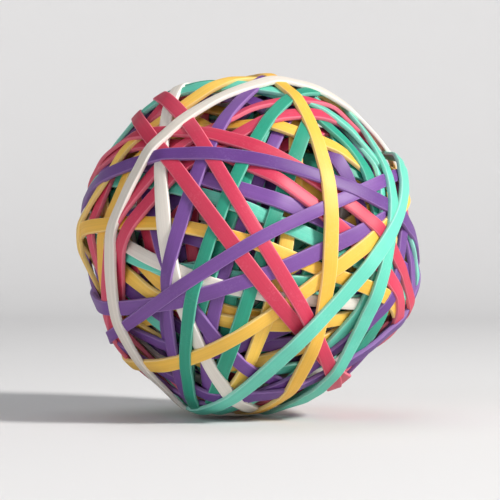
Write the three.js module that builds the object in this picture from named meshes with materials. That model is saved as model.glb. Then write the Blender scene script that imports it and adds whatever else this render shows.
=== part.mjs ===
// A rubber band ball. Flat rubber bands are stretched one after another round a tight heart of
// earlier bands, and each one lies on the high spots of those wound before it.
// Millimetres, +Z up. The origin is the ball's middle and its front is towards -Y.
import * as THREE from "three";

// Driving dimensions.
const heartRadius = 21.6; // the packed inner bands, wound as tight as a solid ball
const bandWidth = 2.7; // a 3.2 mm band, narrower now that it is stretched
const bandThickness = 0.75; // a 0.9 mm band, thinner for the same reason
const clearance = 0.03; // left between a band and whatever it lies on
const outlineSides = 28; // straight runs that stand for a band's curve
const shortestSide = 0.25; // an outline side shorter than this is left out
const heartDetail = 7; // how finely the heart's round surface is divided

// How far a band may shift as it settles: sideways in millimetres, and turned in degrees. The
// lower bands are free to lie wherever there is room, and the last ones stay where they are put.
const lowerFreedom = { slip: [0, -1.5, 1.5, -3, 3], turn: [0, -5, 5, -10, 10, -15, 15] };
const outerFreedom = { slip: [0, -1, 1, -2, 2], turn: [0, -2.5, 2.5, -5, 5] };
const lastFreedom = { slip: [0], turn: [0] };
const lastBandCount = 14;
const settleEffort = 0.3; // how much lower it must lie, for each millimetre that it shifts
const slipPerDegree = 0.4; // a turn of one degree counts as this many millimetres of slip

const rubber = {
  red: new THREE.MeshStandardMaterial({ color: "#d2385a", roughness: 0.5, metalness: 0 }),
  purple: new THREE.MeshStandardMaterial({ color: "#734593", roughness: 0.5, metalness: 0 }),
  green: new THREE.MeshStandardMaterial({ color: "#209f83", roughness: 0.5, metalness: 0 }),
  mint: new THREE.MeshStandardMaterial({ color: "#68cdb6", roughness: 0.5, metalness: 0 }),
  yellow: new THREE.MeshStandardMaterial({ color: "#f1c352", roughness: 0.5, metalness: 0 }),
  white: new THREE.MeshStandardMaterial({ color: "#e3dcd2", roughness: 0.55, metalness: 0 }),
};

// Bands wound on the heart first. Their planes are spread evenly round the ball.
const lowerColours = ["purple", "yellow", "green", "red", "mint", "white"];
const lowerBandCount = 12;
const goldenAngle = 137.5;

function lowerBands() {
  const bands = [];
  for (let i = 0; i < lowerBandCount; i++) {
    const share = (i + 0.5) / lowerBandCount;
    const bow = THREE.MathUtils.radToDeg(Math.asin(2 * share - 1));
    bands.push([lowerColours[i % lowerColours.length], (i * goldenAngle) % 180, bow, 0]);
  }
  return bands;
}

// The outer bands, in the order in which they were wound. Seen from the front, slant is how far
// a band's run leans from upright, in degrees, clockwise. Bow is how far the middle of its front
// arc stands off the ball's centre line, in degrees. Slip is how far the whole band has moved
// sideways off the ball's widest line, in millimetres.
const outerBands = [
  ["green", 13, -3, 0.5],
  ["purple", -77, -39, 0],
  ["yellow", 84, 47, 0],
  ["green", 5, 0, -2.5],
  ["purple", 17, -25, 0],
  ["yellow", -71, -35, 0.5],
  ["purple", 72, 36, 0],
  ["mint", -78, -16, -1.5],
  ["yellow", -79, -28, 0],
  ["purple", -31, 43, 0],
  ["mint", -80, -19, 0],
  ["yellow", 15, 14, -1],
  ["purple", 17, -13, 4.5],
  ["green", 19, -1, 0.5],
  ["white", -76, -16, 0],
  ["yellow", -73, 44, 0],
  ["purple", -30, -21, -2],
  ["mint", -69, 10, 0],
  ["green", 19, -1, 3.5],
  ["purple", -70, 10, 2.5],
  ["red", -5, -75, 4],
  ["yellow", 31, -61, 0],
  ["purple", -42, 68, 0],
  ["green", -21, 60, -4],
  ["mint", 17, 56, -4],
  ["yellow", -75, 16, -6.5],
  ["red", 50, -48, 4],
  ["mint", -57, 53, 4],
  ["purple", 44, 56, 0],
  ["red", -59, 28, -2.5],
  ["yellow", 47, -51, -4],
  ["purple", 85, 54, 4],
  ["red", 48, -49, 4],
  ["white", -13, -19, -4],
  ["purple", 14, -23, 0],
  ["purple", 71, 10, 0.5],
  ["yellow", 57, 15, 5.5],
  ["green", 20, -19, 4],
  ["red", -62, 29, 0.5],
  ["red", -38, -2, -1.5],
  ["red", -31, 4, 0],
  ["purple", 61, -5, 3.5],
  ["purple", -81, 23, 2.5],
  ["mint", 14, 31, 10.5],
  ["yellow", 0, 29.5, -1],
  ["mint", 41, 18, 10.5],
  ["white", 26, -56, 5],
];

// The plane that a band lies in: two directions in it, its normal and its distance from the
// ball's centre.
function bandPlane(slant, bow, slip) {
  const s = THREE.MathUtils.degToRad(slant);
  const b = THREE.MathUtils.degToRad(bow);
  const normal = new THREE.Vector3(Math.cos(b) * Math.cos(s), Math.sin(b), -Math.cos(b) * Math.sin(s));
  const along = new THREE.Vector3(Math.sin(s), 0, Math.cos(s));
  const across = new THREE.Vector3().crossVectors(normal, along);
  return { along, across, normal, slip };
}

// The stretch of the line from a to b that lies between two distances along the plane's normal,
// as its two ends in the plane's own directions.
function clippedEnds(a, b, plane, low, high) {
  const da = a.dot(plane.normal);
  const db = b.dot(plane.normal);
  if (Math.max(da, db) < low || Math.min(da, db) > high) return [];
  const span = db - da;
  const cut = (d) => (Math.abs(span) < 1e-9 ? 0 : THREE.MathUtils.clamp((d - da) / span, 0, 1));
  const shares = Math.abs(span) < 1e-9 ? [0, 1] : [cut(low), cut(high)];
  return shares.map((share) => {
    const p = a.clone().lerp(b, share);
    return new THREE.Vector2(p.dot(plane.along), p.dot(plane.across));
  });
}

// How far the ball reaches, under the band's width, in each direction of its plane.
function reachUnder(plane, wound, directions) {
  const low = plane.slip - bandWidth / 2 - clearance;
  const high = plane.slip + bandWidth / 2 + clearance;
  const nearest = Math.max(0, low, -high);
  const reach = directions.map(() => Math.sqrt(heartRadius ** 2 - nearest ** 2));
  for (const edges of wound) {
    for (const [a, b] of edges) {
      for (const point of clippedEnds(a, b, plane, low, high)) {
        directions.forEach((direction, i) => {
          reach[i] = Math.max(reach[i], point.dot(direction));
        });
      }
    }
  }
  return reach;
}

// The corners of the outline whose sides face the given directions at the given distances.
function outlineCorners(directions, distances) {
  return directions.map((d, i) => {
    const j = (i + 1) % directions.length;
    const e = directions[j];
    const turn = d.x * e.y - d.y * e.x;
    return new THREE.Vector2(
      (distances[i] * e.y - distances[j] * d.y) / turn,
      (distances[j] * d.x - distances[i] * e.x) / turn,
    );
  });
}

// A taut band touches only the high spots, so its outline is the convex one round all that it
// covers. Sides too short to matter are left out, and their neighbours run on to meet.
function tautOutline(plane, wound) {
  let directions = [];
  for (let i = 0; i < outlineSides; i++) {
    const angle = (i / outlineSides) * 2 * Math.PI;
    directions.push(new THREE.Vector2(Math.cos(angle), Math.sin(angle)));
  }
  let reach = reachUnder(plane, wound, directions).map((r) => r + clearance);
  for (;;) {
    const inner = outlineCorners(directions, reach);
    const short = inner.findIndex(
      (corner, i) => corner.distanceTo(inner[(i + inner.length - 1) % inner.length]) < shortestSide,
    );
    if (short < 0) {
      return { inner, outer: outlineCorners(directions, reach.map((r) => r + bandThickness)) };
    }
    directions = directions.filter((_, i) => i !== short);
    reach = reach.filter((_, i) => i !== short);
  }
}

// A band is laid by hand, and shifts a little if it can lie lower there. Of the lays close to the
// one asked for, this is the one that gains most height for the shift that it takes.
function settledLay(slant, bow, slip, freedom, wound) {
  let best = null;
  for (const moreSlip of freedom.slip) {
    for (const moreBow of freedom.turn) {
      for (const moreSlant of freedom.turn) {
        const plane = bandPlane(slant + moreSlant, bow + moreBow, slip + moreSlip);
        const outline = tautOutline(plane, wound);
        const height = Math.max(...outline.outer.map((corner) => corner.length()));
        const shift = Math.hypot(moreSlip, slipPerDegree * moreBow, slipPerDegree * moreSlant);
        const cost = height + settleEffort * shift;
        if (!best || cost < best.cost) best = { plane, outline, cost };
      }
    }
  }
  return best;
}

// One band as a solid: its outline, as wide as the band, set in its plane.
function bandMesh(plane, outline, material) {
  const shape = new THREE.Shape(outline.outer);
  shape.holes.push(new THREE.Path(outline.inner));
  const geometry = new THREE.ExtrudeGeometry(shape, { depth: bandWidth, bevelEnabled: false });
  geometry.translate(0, 0, plane.slip - bandWidth / 2);
  const mesh = new THREE.Mesh(geometry, material);
  mesh.quaternion.setFromRotationMatrix(
    new THREE.Matrix4().makeBasis(plane.along, plane.across, plane.normal),
  );
  return mesh;
}

// The edges of a wound band's outer face, which later bands lie on.
function outerEdges(plane, outline) {
  const rims = [-bandWidth / 2, bandWidth / 2].map((side) =>
    outline.outer.map((corner) =>
      new THREE.Vector3()
        .addScaledVector(plane.along, corner.x)
        .addScaledVector(plane.across, corner.y)
        .addScaledVector(plane.normal, plane.slip + side),
    ),
  );
  const edges = [];
  outline.outer.forEach((_, i) => {
    const next = (i + 1) % outline.outer.length;
    edges.push([rims[0][i], rims[0][next]]);
    edges.push([rims[1][i], rims[1][next]]);
    edges.push([rims[0][i], rims[1][i]]);
  });
  return edges;
}

// The freedom of a band to shift, by its place in the order of winding.
function freedomAt(place, bandCount) {
  if (place < lowerBandCount) return lowerFreedom;
  return place < bandCount - lastBandCount ? outerFreedom : lastFreedom;
}

// The ball about its own centre: the heart, and then each band over what is there already.
function woundBall() {
  const ball = new THREE.Group();
  const heart = new THREE.Mesh(
    new THREE.IcosahedronGeometry(heartRadius, heartDetail),
    rubber.purple,
  );
  heart.name = "heart_of_inner_bands";
  ball.add(heart);
  const bands = [...lowerBands(), ...outerBands];
  const wound = [];
  bands.forEach(([colour, slant, bow, slip], i) => {
    const freedom = freedomAt(i, bands.length);
    const { plane, outline } = settledLay(slant, bow, slip, freedom, wound);
    const band = bandMesh(plane, outline, rubber[colour]);
    band.name = `band_${String(i + 1).padStart(2, "0")}_${colour}`;
    ball.add(band);
    wound.push(outerEdges(plane, outline));
  });
  return ball;
}

// The part's origin is the middle of the finished ball, which lies a little off the heart's.
const ball = woundBall();
const middle = new THREE.Box3().setFromObject(ball, true).getCenter(new THREE.Vector3());
ball.position.sub(middle);

const part = new THREE.Group();
part.add(ball);
export default part;
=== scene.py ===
import math
import random

import bmesh
import bpy
import numpy as np
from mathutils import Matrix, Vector


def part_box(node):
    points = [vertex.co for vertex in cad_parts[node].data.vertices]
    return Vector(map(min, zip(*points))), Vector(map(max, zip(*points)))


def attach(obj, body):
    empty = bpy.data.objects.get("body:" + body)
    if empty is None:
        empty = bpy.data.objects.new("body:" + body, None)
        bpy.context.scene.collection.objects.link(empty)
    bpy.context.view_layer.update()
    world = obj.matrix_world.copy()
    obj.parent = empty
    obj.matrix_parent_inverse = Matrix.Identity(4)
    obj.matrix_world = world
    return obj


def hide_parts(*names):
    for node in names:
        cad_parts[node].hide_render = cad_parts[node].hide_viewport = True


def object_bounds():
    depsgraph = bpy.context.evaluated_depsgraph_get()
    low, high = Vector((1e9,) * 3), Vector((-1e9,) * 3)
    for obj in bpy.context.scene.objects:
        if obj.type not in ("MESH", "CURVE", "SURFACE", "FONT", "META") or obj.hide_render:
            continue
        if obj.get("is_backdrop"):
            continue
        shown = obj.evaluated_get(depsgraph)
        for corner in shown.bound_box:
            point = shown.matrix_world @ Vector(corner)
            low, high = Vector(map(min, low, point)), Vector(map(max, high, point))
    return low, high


# A rubber band ball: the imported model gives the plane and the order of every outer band, and
# here each one is wound again as a taut strip of soft rubber over all that lies beneath it.
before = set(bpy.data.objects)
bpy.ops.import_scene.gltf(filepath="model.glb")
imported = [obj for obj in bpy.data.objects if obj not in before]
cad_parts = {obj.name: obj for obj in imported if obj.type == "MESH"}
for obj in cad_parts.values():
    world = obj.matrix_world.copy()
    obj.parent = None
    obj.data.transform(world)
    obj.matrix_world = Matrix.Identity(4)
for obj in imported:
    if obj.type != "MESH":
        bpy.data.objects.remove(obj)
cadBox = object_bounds()

mm = 0.001
scene = bpy.context.scene
luck = random.Random(59)
ballLow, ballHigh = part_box("heart_of_inner_bands")
windingCentre = np.array((ballLow + ballHigh) / 2) / mm  # the heart's middle, in mm

# The height map: how far out the ball reaches in every direction.
heightMap = {
    "cells": 420,  # along each of the 12 edges of the cube that the map is laid out on
    "coreRadius": 21.2,  # mm, just inside the CAD heart
}
heights = np.full(6 * heightMap["cells"] ** 2, heightMap["coreRadius"])


def cellOf(points):
    # Each point's cell, on whichever of the cube's 6 faces it lies over
    cells = heightMap["cells"]
    rows = np.arange(len(points))
    size = np.abs(points)
    axis = size.argmax(1)
    main = size[rows, axis]
    across = points[rows, (axis + 1) % 3] / main
    up = points[rows, (axis + 2) % 3] / main
    face = axis * 2 + (points[rows, axis] > 0)
    column = np.clip((np.arctan(across) * 4 / math.pi + 1) * cells / 2, 0, cells - 1).astype(int)
    row = np.clip((np.arctan(up) * 4 / math.pi + 1) * cells / 2, 0, cells - 1).astype(int)
    return (face * cells + column) * cells + row


def raiseMap(points):
    # points lie on the outer face of a band that has just been wound
    points = points.reshape(-1, 3)
    np.maximum.at(heights, cellOf(points), np.linalg.norm(points, axis=1))


# Winding one band.
winding = {
    "readSteps": 540,  # places along the band where it feels what is beneath it
    "startRadius": 32.0,  # mm from the middle, where it starts to feel its way down
    "feels": 3,  # times that it feels again from where it came to
    "leastRadius": 10,
    "fibres": 9,  # lengthwise lines across its width, each of them pulled taut
    "hullDirections": 360,
    "leastLean": 0.3,  # cosine: a direction that faces further away is left out
    "raisedSteps": 1700,  # points that raise the map, along the band and across it
    "raisedAcross": 24,
    "raisedShare": 0.96,  # share of its width over which they lie
    "give": 0.1,  # mm that a band presses into what it crosses
    "pressedFrom": 32.4,  # mm from the middle: where bands pile up higher, they press in more
    "pressedShare": 0.5,
    "mostPressed": 0.4,
    "stiffness": 0.9,  # mm of its length over which a bend is spread
    "twistStiffness": 2.6,  # mm of its length over which a change of tilt is spread
    "mostTilt": 24,  # degrees, across its width
}


def smoothLoop(values, reach):
    # A closed row of numbers, each blended with its neighbours out to about reach places
    waves = np.fft.rfftfreq(len(values))
    faded = np.fft.rfft(values) * np.exp(-2 * (math.pi * waves * reach) ** 2)
    return np.fft.irfft(faded, len(values))


def resample(values, steps):
    # A closed row of numbers at another number of places
    places = np.arange(steps) * len(values) / steps
    return np.interp(places, np.arange(len(values) + 1), np.append(values, values[0]))


def tautRadius(radius, angles):
    # Each fibre of a taut band takes the shortest way round: the outline that bulges everywhere
    count = winding["hullDirections"]
    facing = np.arange(count) * 2 * math.pi / count
    reach = np.full((len(radius), count), -1e9)
    for fibre, r in enumerate(radius):
        reach[fibre] = (r[:, None] * np.cos(angles[:, None] - facing)).max(0)
    lean = np.cos(angles[:, None] - facing)
    lean = np.where(lean > winding["leastLean"], lean, 1e-6)  # so small that it never holds
    return np.stack([(row / lean).min(1) for row in reach])


def windBand(plane, width, wander):
    # The middle line of the band's inner face, with its tilt, for every read step
    steps = winding["readSteps"]
    angles = np.arange(steps) * 2 * math.pi / steps
    outward = np.cos(angles)[:, None] * plane["along"] + np.sin(angles)[:, None] * plane["across"]
    slip = plane["slip"] + wander(angles)
    sides = np.linspace(-0.5, 0.5, winding["fibres"]) * width
    felt = []
    for side in sides:
        radius = np.full(steps, winding["startRadius"])
        for _ in range(winding["feels"]):
            points = outward * radius[:, None] + plane["normal"] * (slip + side)[:, None]
            reach = heights[cellOf(points)]
            radius = np.sqrt(np.maximum(reach ** 2 - (slip + side) ** 2, winding["leastRadius"] ** 2))
        felt.append(radius)
    taut = tautRadius(np.array(felt), angles)
    stepLength = 2 * math.pi * winding["startRadius"] / steps
    tilt = (sides @ taut) / (sides @ sides)
    most = math.tan(math.radians(winding["mostTilt"]))
    tilt = np.clip(smoothLoop(tilt, winding["twistStiffness"] / stepLength), -most, most)
    middle = (taut - tilt * sides[:, None]).max(0)
    pressed = (middle - winding["pressedFrom"]) * winding["pressedShare"]
    middle -= winding["give"] + np.clip(pressed, 0, winding["mostPressed"])
    middle = smoothLoop(middle, winding["stiffness"] / stepLength)
    return {"radius": middle, "tilt": tilt, "slip": slip}


def bandFrames(plane, wound, steps):
    # Where the band's middle line is at each step, and which ways its width and its outside face
    angles = np.arange(steps) * 2 * math.pi / steps
    outward = np.cos(angles)[:, None] * plane["along"] + np.sin(angles)[:, None] * plane["across"]
    radius = resample(wound["radius"], steps)
    tilt = resample(wound["tilt"], steps)
    slip = resample(wound["slip"], steps)
    middle = outward * radius[:, None] + plane["normal"] * slip[:, None]
    run = np.roll(middle, -1, 0) - np.roll(middle, 1, 0)
    run /= np.linalg.norm(run, axis=1)[:, None]
    sideways = plane["normal"] + outward * tilt[:, None]
    sideways -= run * (sideways * run).sum(1)[:, None]
    sideways /= np.linalg.norm(sideways, axis=1)[:, None]
    return middle, sideways, np.cross(run, sideways)


def slowWave(size, slowest, fastest):
    # A smooth random wave round the band
    parts = [
        (beat, luck.uniform(0.4, 1) * size / beat ** 0.5, luck.uniform(0, 2 * math.pi))
        for beat in range(slowest, fastest + 1)
    ]
    return lambda angles: sum(high * np.sin(beat * angles + start) for beat, high, start in parts)


# The relaxed band, made once and wound many times. Lengths in mm.
outerBand = {
    "radius": 28.3,  # an 89 mm band opened out to a circle
    "width": 2.68,
    "thickness": 0.82,
    "crown": 0.06,  # mm that the middle of its face stands proud of the long edges
    "edgeRound": 0.17,
    "sharpFrom": 60,  # degrees: only its four long edges turn by more
    "roundSegments": 2,
    "steps": 260,
    "ownWidth": (0.88, 1.08),  # shares of that width: the more a band is stretched, the narrower
    "widthChange": 0.06,  # share of its width by which it varies along its length
    "wander": 0.35,
}
innerBand = dict(outerBand, steps=170, roundSegments=1, wander=0.8)


def relaxedBand(settings, name):
    # A rectangular section spun round once, with its four long edges rounded
    inside = settings["radius"] * mm
    outside = inside + settings["thickness"] * mm
    half = settings["width"] / 2 * mm
    crown = settings["crown"] * mm
    bm = bmesh.new()
    section = [(inside, -half), (outside, -half)]
    section += [(outside + crown * (1 - share ** 2), half * share) for share in (-0.5, 0, 0.5)]
    section += [(outside, half), (inside, half), (inside, 0)]
    corners = [bm.verts.new((out, 0, up)) for out, up in section]
    sides = [bm.edges.new((corners[i - 1], corners[i])) for i in range(len(corners))]
    bmesh.ops.spin(
        bm, geom=corners + sides, cent=(0, 0, 0), axis=(0, 0, 1),
        angle=2 * math.pi, steps=settings["steps"], use_merge=True,
    )
    bmesh.ops.recalc_face_normals(bm, faces=bm.faces)
    sharp = [edge for edge in bm.edges if edge.calc_face_angle() > math.radians(settings["sharpFrom"])]
    bmesh.ops.bevel(
        bm, geom=sharp, offset=settings["edgeRound"] * mm, offset_type="OFFSET",
        segments=settings["roundSegments"], profile=0.5, affect="EDGES", material=-1,
    )
    for face in bm.faces:
        face.smooth = True
    mesh = bpy.data.meshes.new(name)
    bm.to_mesh(mesh)
    bm.free()
    return mesh


def placesOf(mesh):
    # A mesh's points as rows of numbers
    places = np.zeros(len(mesh.vertices) * 3, np.float32)
    mesh.vertices.foreach_get("co", places)
    return places.reshape(-1, 3).astype(float)


def woundMesh(relaxed, settings, plane, wound, name, shade):
    # A copy of the relaxed band, each of its points carried to where it lies on the ball
    steps = settings["steps"]
    places = placesOf(relaxed) / mm
    angles = np.arctan2(places[:, 1], places[:, 0])
    turn = np.round(angles / (2 * math.pi) * steps).astype(int) % steps
    depth = np.hypot(places[:, 0], places[:, 1]) - settings["radius"]
    middle, sideways, outside = bandFrames(plane, wound, steps)
    change = slowWave(settings["widthChange"], 2, 7)(np.arange(steps) * 2 * math.pi / steps)
    wide = wound["widthShare"] * (1 + change)
    woundPlaces = (
        middle[turn]
        + sideways[turn] * (places[:, 2] * wide[turn])[:, None]
        + outside[turn] * depth[:, None]
        + windingCentre
    )
    mesh = relaxed.copy()
    mesh.name = name
    mesh.vertices.foreach_set("co", (woundPlaces * mm).astype(np.float32).ravel())
    along = mesh.attributes.new("relaxedPlace", "FLOAT_VECTOR", "POINT")
    along.data.foreach_set("vector", (places * mm).astype(np.float32).ravel())
    own = mesh.attributes.new("bandShade", "FLOAT", "POINT")
    own.data.foreach_set("value", np.full(len(places), shade, np.float32))
    mesh.update()
    return mesh


def layOnBall(plane, settings):
    # Winds a band and adds it to the height map
    widthShare = luck.uniform(*settings["ownWidth"])
    width = settings["width"] * widthShare
    wound = windBand(plane, width, slowWave(settings["wander"], 2, 5))
    wound["widthShare"] = widthShare
    middle, sideways, outside = bandFrames(plane, wound, winding["raisedSteps"])
    reach = winding["raisedShare"] / 2
    for side in np.linspace(-reach, reach, winding["raisedAcross"]) * width:
        raiseMap(middle + sideways * side + outside * settings["thickness"])
    return wound


def planeFacing(normal, slip):
    # A plane through the ball from its normal and its distance off centre, with two directions in it
    normal = normal / np.linalg.norm(normal)
    along = np.cross(normal, (0.0, 0.0, 1.0) if abs(normal[2]) < 0.9 else (1.0, 0.0, 0.0))
    along /= np.linalg.norm(along)
    return {"normal": normal, "along": along, "across": np.cross(normal, along), "slip": slip}


def planeOfNode(node):
    # A CAD band is flat, so the direction in which its points vary least is its plane's normal
    corners = np.unique(np.round(placesOf(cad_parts[node].data) / mm, 3), axis=0)
    places = corners - windingCentre
    normal = np.linalg.svd(places - places.mean(0), full_matrices=False)[2][2]
    return planeFacing(normal, float(places.mean(0) @ normal))


def linear(hexColour):
    # An sRGB hex colour as the linear numbers that a shader takes
    shares = [int(hexColour[i:i + 2], 16) / 255 for i in (1, 3, 5)]
    return [s / 12.92 if s <= 0.04045 else ((s + 0.055) / 1.055) ** 2.4 for s in shares] + [1]


def addNode(tree, kind, settings=None, links=None):
    # One shader node, with its own settings, its sockets' values, and what feeds them
    node = tree.nodes.new(kind)
    for name, value in (settings or {}).items():
        if isinstance(name, str) and hasattr(node, name):
            setattr(node, name, value)
        else:
            node.inputs[name].default_value = value
    for name, source in (links or {}).items():
        tree.links.new(source, node.inputs[name])
    return node


rubberFinish = {
    "lineSpacing": 0.32,  # mm between the faint lines that the extruder's die leaves
    "lineRepeats": 12,  # in each metre of a line's length, so that a line runs on a long way
    "lineTone": (0.93, 1.05),  # how a line darkens or lightens the colour
    "lineHeight": 0.018,
    "cutGrain": 0.22,  # mm, the torn grain of a cut edge
    "cutPaintedHighlight": 0.42,  # share of the talc colour painted on a cut edge, a painted highlight
    "cutRough": 0.25,  # roughness that the knife adds
    "cutFrom": 0.2,  # mm in from the edge, where the cut starts to show
    "cutTo": 0.1,
    "talcPatch": 5.0,  # mm across a patch that has kept more of its dusting of talc
    "talcSpeck": 0.45,  # mm, drawn coarser than real talc so that it shows at all
    "talcPale": 0.3,
    "talcRough": 0.3,
    "roughness": 0.5,
    "ior": 1.52,
}


def naturalRubber(name, faceColour, deepColour, talcAndEdgeHighlightColour):
    # Vulcanised natural rubber, extruded as a tube and sliced into bands: satin faces with
    # lengthwise die lines, and rougher edges where the knife went through, painted paler as a
    # highlight.
    finish = rubberFinish
    material = bpy.data.materials.new(name)
    material.use_nodes = True
    tree = material.node_tree
    tree.nodes.clear()
    place = addNode(tree, "ShaderNodeAttribute", {"attribute_name": "relaxedPlace"}).outputs["Vector"]
    shade = addNode(tree, "ShaderNodeAttribute", {"attribute_name": "bandShade"}).outputs["Fac"]
    onBall = addNode(tree, "ShaderNodeTexCoord").outputs["Object"]

    # Lines that run the band's length: stretched far along it, and fine across it
    repeats = finish["lineRepeats"]
    stretched = addNode(
        tree, "ShaderNodeMapping",
        {"Scale": (repeats, repeats, 1 / (finish["lineSpacing"] * mm))}, {"Vector": place},
    ).outputs["Vector"]
    lines = addNode(
        tree, "ShaderNodeTexNoise",
        {"Scale": 1.0, "Detail": 2.0, "Roughness": 0.6}, {"Vector": stretched},
    ).outputs["Fac"]

    # The knife's edge: everything further out across the width than the face reaches
    split = addNode(tree, "ShaderNodeSeparateXYZ", links={"Vector": place}).outputs["Z"]
    fromMiddle = addNode(tree, "ShaderNodeMath", {"operation": "ABSOLUTE"}, {0: split}).outputs[0]
    edgeAt = outerBand["width"] / 2 * mm
    edge = addNode(
        tree, "ShaderNodeMapRange",
        {"From Min": edgeAt - finish["cutFrom"] * mm, "From Max": edgeAt - finish["cutTo"] * mm},
        {"Value": fromMiddle},
    ).outputs["Result"]
    grain = addNode(
        tree, "ShaderNodeTexNoise",
        {"Scale": 1 / (finish["cutGrain"] * mm), "Detail": 3.0}, {"Vector": onBall},
    ).outputs["Fac"]

    # Talc: specks of it, within patches that have kept more of it
    patches = addNode(
        tree, "ShaderNodeTexNoise",
        {"Scale": 1 / (finish["talcPatch"] * mm), "Detail": 3.0}, {"Vector": onBall},
    ).outputs["Fac"]
    specks = addNode(
        tree, "ShaderNodeTexNoise",
        {"Scale": 1 / (finish["talcSpeck"] * mm), "Detail": 4.0, "Roughness": 0.7}, {"Vector": onBall},
    ).outputs["Fac"]
    patchy = addNode(
        tree, "ShaderNodeMapRange", {"From Min": 0.42, "From Max": 0.72}, {"Value": patches},
    ).outputs["Result"]
    speckled = addNode(
        tree, "ShaderNodeMapRange", {"From Min": 0.5, "From Max": 0.8}, {"Value": specks},
    ).outputs["Result"]
    talc = addNode(
        tree, "ShaderNodeMath", {"operation": "MULTIPLY"}, {0: patchy, 1: speckled},
    ).outputs[0]

    # Colour: each band its own shade, then its lines, a painted highlight on its cut edges, and its
    # talc
    ownTone = addNode(
        tree, "ShaderNodeMix",
        {"data_type": "RGBA", 6: linear(deepColour), 7: linear(faceColour)}, {0: shade},
    ).outputs[2]
    darkest, lightest = finish["lineTone"]
    lineTone = addNode(
        tree, "ShaderNodeMapRange",
        {"From Min": 0.3, "From Max": 0.7, "To Min": darkest, "To Max": lightest}, {"Value": lines},
    ).outputs["Result"]
    lined = addNode(
        tree, "ShaderNodeVectorMath", {"operation": "SCALE"}, {0: ownTone, "Scale": lineTone},
    ).outputs[0]
    # Painted highlight: the cut edges are mixed towards the pale talc colour, as if light caught them
    edgeHighlightAmount = addNode(
        tree, "ShaderNodeMath", {"operation": "MULTIPLY", 1: finish["cutPaintedHighlight"]}, {0: edge},
    ).outputs[0]
    edgeHighlighted = addNode(
        tree, "ShaderNodeMix", {"data_type": "RGBA", 7: linear(talcAndEdgeHighlightColour)}, {0: edgeHighlightAmount, 6: lined},
    ).outputs[2]
    talcAmount = addNode(
        tree, "ShaderNodeMath", {"operation": "MULTIPLY", 1: finish["talcPale"]}, {0: talc},
    ).outputs[0]
    dusted = addNode(
        tree, "ShaderNodeMix", {"data_type": "RGBA", 7: linear(talcAndEdgeHighlightColour)}, {0: talcAmount, 6: edgeHighlighted},
    ).outputs[2]

    # Roughness: satin on the faces, dull where it was cut or where talc lies
    edgeRough = addNode(
        tree, "ShaderNodeMath",
        {"operation": "MULTIPLY_ADD", 1: finish["cutRough"], 2: finish["roughness"]}, {0: edge},
    ).outputs[0]
    rough = addNode(
        tree, "ShaderNodeMath",
        {"operation": "MULTIPLY_ADD", 1: finish["talcRough"]}, {0: talc, 2: edgeRough},
    ).outputs[0]

    # Height: the die's lines on the faces, and the torn grain on the cut edges
    height = addNode(
        tree, "ShaderNodeMix", {"data_type": "FLOAT"}, {0: edge, 2: lines, 3: grain},
    ).outputs[0]
    bump = addNode(
        tree, "ShaderNodeBump",
        {"Strength": 0.6, "Distance": finish["lineHeight"] * mm}, {"Height": height},
    ).outputs["Normal"]
    shader = addNode(
        tree, "ShaderNodeBsdfPrincipled",
        {
            "IOR": finish["ior"],
            "Subsurface Weight": 0.06,
            "Subsurface Radius": (1.0, 0.6, 0.5),
            "Subsurface Scale": 0.6 * mm,
        },
        {"Base Color": dusted, "Roughness": rough, "Normal": bump},
    ).outputs["BSDF"]
    addNode(tree, "ShaderNodeOutputMaterial", links={"Surface": shader})
    return material


rubberColours = {
    # slot: face, deeper batch of the same colour, and the colour with talc on it, also used for the
    # painted highlight on the cut edges
    "red": ("#d2385a", "#c02a4a", "#ef94a4"),
    "purple": ("#734593", "#5d317f", "#ad8dc6"),
    "green": ("#209f83", "#138c71", "#8ad6c2"),
    "mint": ("#68cdb6", "#53bea5", "#bcebdf"),
    "yellow": ("#f1c352", "#e9b23c", "#fae6b2"),
    "white": ("#e3dcd2", "#d8cfc3", "#f4f0eb"),
}
rubber = {
    slot: naturalRubber("naturalRubber_" + slot, *colours) for slot, colours in rubberColours.items()
}
print("materials made")


def addPiece(mesh, name, colour, slot, *nodes):
    # A finished piece of rubber, in place of the CAD nodes that it stands for, which are hidden
    piece = bpy.data.objects.new(name, mesh)
    scene.collection.objects.link(piece)
    piece.data.materials.clear()
    piece.data.materials.append(rubber[colour])
    evened = piece.modifiers.new("Weighted Normal", "WEIGHTED_NORMAL")
    evened.keep_sharp = False
    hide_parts(*nodes)
    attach(piece, "root")


# The inner bands.
innerBands = {
    "count": 66,
    "tries": 2,  # each is laid where, of this many places, the ball is lowest
    "mostSlip": 5.0,
    "feltAt": 30,  # mm from the middle, where a place is tried
    "feltSteps": 180,
    "knotBands": 12,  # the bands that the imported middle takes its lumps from
}
packedKnot = {
    "detail": 6,
    "sinkUnder": 0.9,  # mm that it lies below the bands' outer faces
    "sinkBare": 0.3,  # mm that it lies below the bare heart
    "smoothing": 0.5,
}


def randomNormal():
    # A direction drawn evenly from the whole sphere
    up = luck.uniform(-1, 1)
    turn = luck.uniform(0, 2 * math.pi)
    flat = math.sqrt(1 - up * up)
    return np.array((flat * math.cos(turn), flat * math.sin(turn), up))


def meanHeight(plane):
    # How high the ball already stands along a plane
    steps = innerBands["feltSteps"]
    angles = np.arange(steps) * 2 * math.pi / steps
    outward = np.cos(angles)[:, None] * plane["along"] + np.sin(angles)[:, None] * plane["across"]
    return heights[cellOf(outward * innerBands["feltAt"] + plane["normal"] * plane["slip"])].mean()


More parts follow.
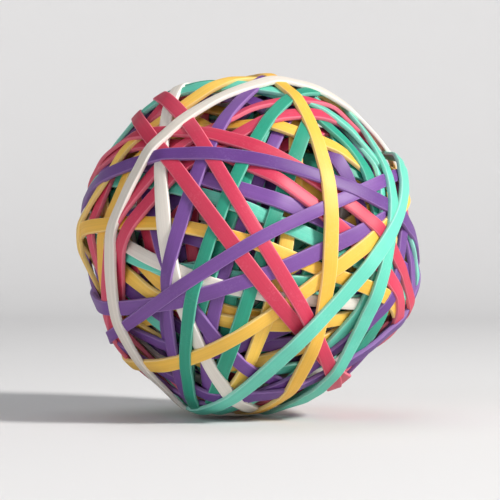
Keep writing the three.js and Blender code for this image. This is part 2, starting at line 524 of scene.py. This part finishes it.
def packedMiddle():
    # The tight knot of bands that the ball was started on, lumpy where each of them runs
    bm = bmesh.new()
    bmesh.ops.create_icosphere(bm, subdivisions=packedKnot["detail"], radius=1)
    for vertex in bm.verts:
        reach = heights[cellOf(np.array([vertex.co]))[0]]
        covered = reach > heightMap["coreRadius"]
        sink = packedKnot["sinkUnder"] if covered else packedKnot["sinkBare"]
        vertex.co = vertex.co * (reach - sink) * mm + Vector(windingCentre * mm)
    bmesh.ops.smooth_vert(
        bm, verts=bm.verts, factor=packedKnot["smoothing"],
        use_axis_x=True, use_axis_y=True, use_axis_z=True,
    )
    for face in bm.faces:
        face.smooth = True
    mesh = bpy.data.meshes.new("packed_middle")
    bm.to_mesh(mesh)
    bm.free()
    return mesh


relaxedInner = relaxedBand(innerBand, "relaxedInner")
relaxedOuter = relaxedBand(outerBand, "relaxedOuter")
innerMeshes = {colour: [] for colour in rubberColours}
middleMesh = None
for number in range(1, innerBands["count"] + 1):
    planes = [
        planeFacing(randomNormal(), luck.uniform(-1, 1) * innerBands["mostSlip"])
        for _ in range(innerBands["tries"])
    ]
    plane = min(planes, key=meanHeight)
    wound = layOnBall(plane, innerBand)
    colour = luck.choice(list(rubberColours))
    innerMeshes[colour].append(
        woundMesh(relaxedInner, innerBand, plane, wound, "inner", luck.uniform(0, 1))
    )
    if number == innerBands["knotBands"]:
        middleMesh = packedMiddle()

for colour, meshes in innerMeshes.items():
    bm = bmesh.new()
    for mesh in meshes:
        bm.from_mesh(mesh)
    joined = bpy.data.meshes.new("inner_bands_" + colour)
    bm.to_mesh(joined)
    bm.free()
    addPiece(joined, "inner_bands_" + colour, colour, "inner_bands", "heart_of_inner_bands")
    for mesh in meshes:
        bpy.data.meshes.remove(mesh)
addPiece(middleMesh, "packed_middle", "purple", "inner_bands", "heart_of_inner_bands")
print("inner bands wound, mean height", round(float(heights.mean()), 2))


# The outer bands, in the order of their numbers.
for node in sorted(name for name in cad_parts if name.startswith("band_")):
    colour = node.split("_")[2]
    plane = planeOfNode(node)
    wound = layOnBall(plane, outerBand)
    mesh = woundMesh(relaxedOuter, outerBand, plane, wound, node + "_rubber", luck.uniform(0, 1))
    addPiece(mesh, node + "_rubber", colour, colour, node)
print("outer bands wound, heights", np.percentile(heights, (0, 10, 25, 50, 75, 90, 100)).round(1))
for mesh in (relaxedInner, relaxedOuter):
    bpy.data.meshes.remove(mesh)


# Floor, light and camera.
studio = {
    "floorColour": "#dfdfe0",
    "wallRadius": 0.85,  # metres, as the lights' places are
    "wallHeight": 0.34,
    "bend": 0.25,
    "bendSteps": 16,
    "roundSteps": 96,
    "floorRoughness": 0.9,
    "airColour": "#f4f5f7",
    "airStrength": 0.17,
    "lens": 150,
    "sensor": 36,
    "fill": 0.67,  # how much of the frame the ball takes
}
lamps = {
    # name: place in metres, size in metres, watts, colour
    "keyLight": ((0.85, -0.5, 0.62), 0.24, 17.2, "#fffcf8"),
    "fillLight": ((-0.6, -0.95, 0.6), 0.8, 2.5, "#f0f4ff"),
    "topLight": ((-0.1, 0.15, 1.0), 0.8, 2.1, "#ffffff"),
}


def paleTray(floor):
    # A round floor that curves up into a low wall on every side
    bm = bmesh.new()
    bend = studio["bend"]
    profile = [(0, 0), (studio["wallRadius"] - bend, 0)]
    for i in range(1, studio["bendSteps"] + 1):
        angle = math.pi / 2 * i / studio["bendSteps"]
        profile.append((profile[1][0] + bend * math.sin(angle), bend * (1 - math.cos(angle))))
    profile.append((studio["wallRadius"], studio["wallHeight"]))
    points = [bm.verts.new((out, 0, floor + up)) for out, up in profile]
    lines = [bm.edges.new(pair) for pair in zip(points, points[1:])]
    bmesh.ops.spin(
        bm, geom=points + lines, cent=(0, 0, 0), axis=(0, 0, 1),
        angle=2 * math.pi, steps=studio["roundSteps"], use_merge=True,
    )
    bmesh.ops.remove_doubles(bm, verts=bm.verts, dist=0.01 * mm)
    bmesh.ops.recalc_face_normals(bm, faces=bm.faces)
    for face in bm.faces:
        face.smooth = True
    mesh = bpy.data.meshes.new("tray")
    bm.to_mesh(mesh)
    bm.free()
    tray = bpy.data.objects.new("tray", mesh)
    scene.collection.objects.link(tray)
    paper = bpy.data.materials.new("mattePaper")
    paper.use_nodes = True
    sheet = paper.node_tree.nodes["Principled BSDF"]
    sheet.inputs["Base Color"].default_value = linear(studio["floorColour"])
    sheet.inputs["Roughness"].default_value = studio["floorRoughness"]
    mesh.materials.append(paper)
    tray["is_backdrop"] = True


def softLight(name, place, size, power, colour):
    # A round soft lamp that faces the ball
    light = bpy.data.lights.new(name, "AREA")
    light.shape = "DISK"
    light.size = size
    light.energy = power
    light.color = linear(colour)[:3]
    lamp = bpy.data.objects.new(name, light)
    lamp.location = place
    lamp.rotation_euler = (-Vector(place)).to_track_quat("-Z", "Y").to_euler()
    scene.collection.objects.link(lamp)


paleTray(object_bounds()[0].z)
for name, lamp in lamps.items():
    softLight(name, *lamp)

world = bpy.data.worlds.new("studio")
world.use_nodes = True
air = world.node_tree.nodes["Background"]
air.inputs["Color"].default_value = linear(studio["airColour"])
air.inputs["Strength"].default_value = studio["airStrength"]
scene.world = world

camera = bpy.data.cameras.new("camera")
camera.lens = studio["lens"]
camera.sensor_width = studio["sensor"]
ballSize = max(cadBox[1].x - cadBox[0].x, cadBox[1].z - cadBox[0].z)
distance = ballSize / studio["fill"] * camera.lens / camera.sensor_width
eye = bpy.data.objects.new("camera", camera)
eye.location = (0, -distance, 0)
eye.rotation_euler = (math.radians(90), 0, 0)
scene.collection.objects.link(eye)
scene.camera = eye
scene.view_settings.view_transform = "Standard"  # keeps the dyed rubber as bright as it is
print("floor, light and camera set")

print("cad", [round(x / mm, 1) for corner in cadBox for x in corner])
